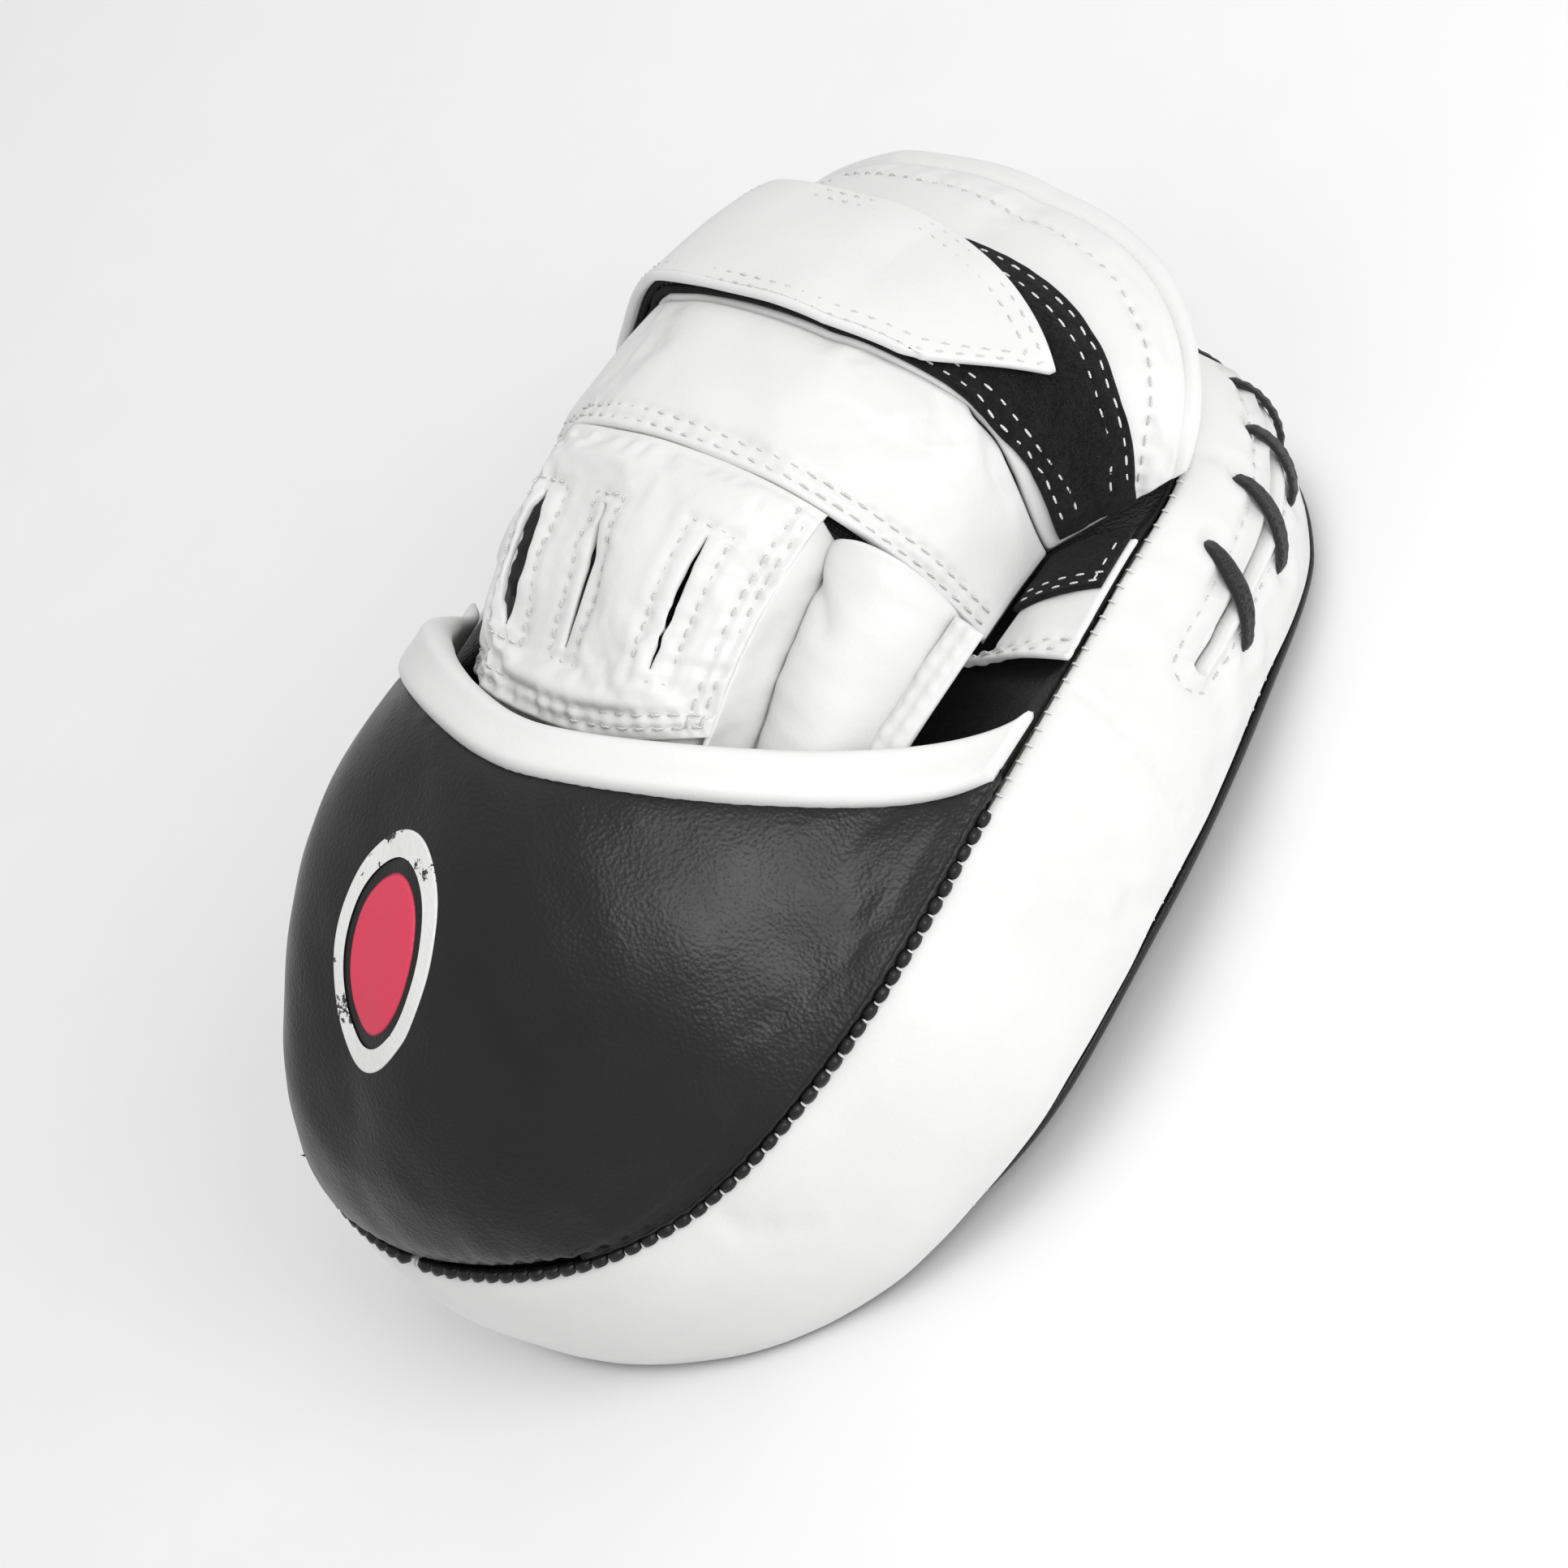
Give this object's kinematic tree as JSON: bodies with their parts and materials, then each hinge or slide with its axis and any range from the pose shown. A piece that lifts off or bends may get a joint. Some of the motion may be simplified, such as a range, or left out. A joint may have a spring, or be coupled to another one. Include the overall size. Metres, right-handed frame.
{
  "type": "boxing focus mitt",
  "caption": "Curved focus mitt: foam strike pad, padded finger hood, vented hand shell with thumb stall, laced side wall and a hook and loop wrist strap.",
  "frame": {"origin": "below the centre of the mitt, on the plane that the strike face rests on", "axes": "+Z towards the back of the hand, +Y towards the wrist, +X towards the thumb side"},
  "size_m": [0.2104, 0.2558, 0.1243],
  "materials": {
    "black_leather": "fine pebble grain, satin",
    "white_leather": "smooth, soft satin",
    "foam": "matt closed-cell foam",
    "lining_cloth": "matt woven",
    "loop_fabric": "fuzzy loop pile",
    "hook_fabric": "stiff hook tape",
    "lace_webbing": "flat braid",
    "white_print": "satin print",
    "red_print": "satin print"
  },
  "bodies": {
    "mitt": {"strike_cover": "black_leather", "back_panel": "black_leather", "finger_hood": "black_leather", "palm_grip": "black_leather", "strap_keeper": "black_leather", "foam_strike_layer": "foam", "foam_core_layer": "foam", "foam_back_layer": "foam", "hood_padding": "foam", "knuckle_padding": "foam", "cuff_padding": "foam", "side_gusset": "white_leather", "hood_binding": "white_leather", "knuckle_band": "white_leather", "wrist_cuff": "white_leather", "cuff_rim_roll": "white_leather", "near_flange": "white_leather", "far_flange": "white_leather", "strap_anchor": "white_leather", "vent_panel": "white_leather", "finger_stall_1": "white_leather", "finger_stall_2": "white_leather", "finger_stall_3": "white_leather", "finger_stall_4": "white_leather", "thumb_stall": "white_leather", "hood_lining": "lining_cloth", "shell_lining": "lining_cloth", "loop_patch": "loop_fabric", "lace": "lace_webbing", "emblem_ring": "white_print", "emblem_disc": "red_print"},
    "strap": {"strap": "white_leather", "strap_hook": "hook_fabric"}
  },
  "joints": [
    {"name": "strap_hinge", "type": "hinge", "parent": "mitt", "child": "strap", "pos_m": [-0.066, 0.07238, 0.0701], "axis": [0.3039, -0.9388, 0.162], "range_deg": [0, 120]}
  ]
}
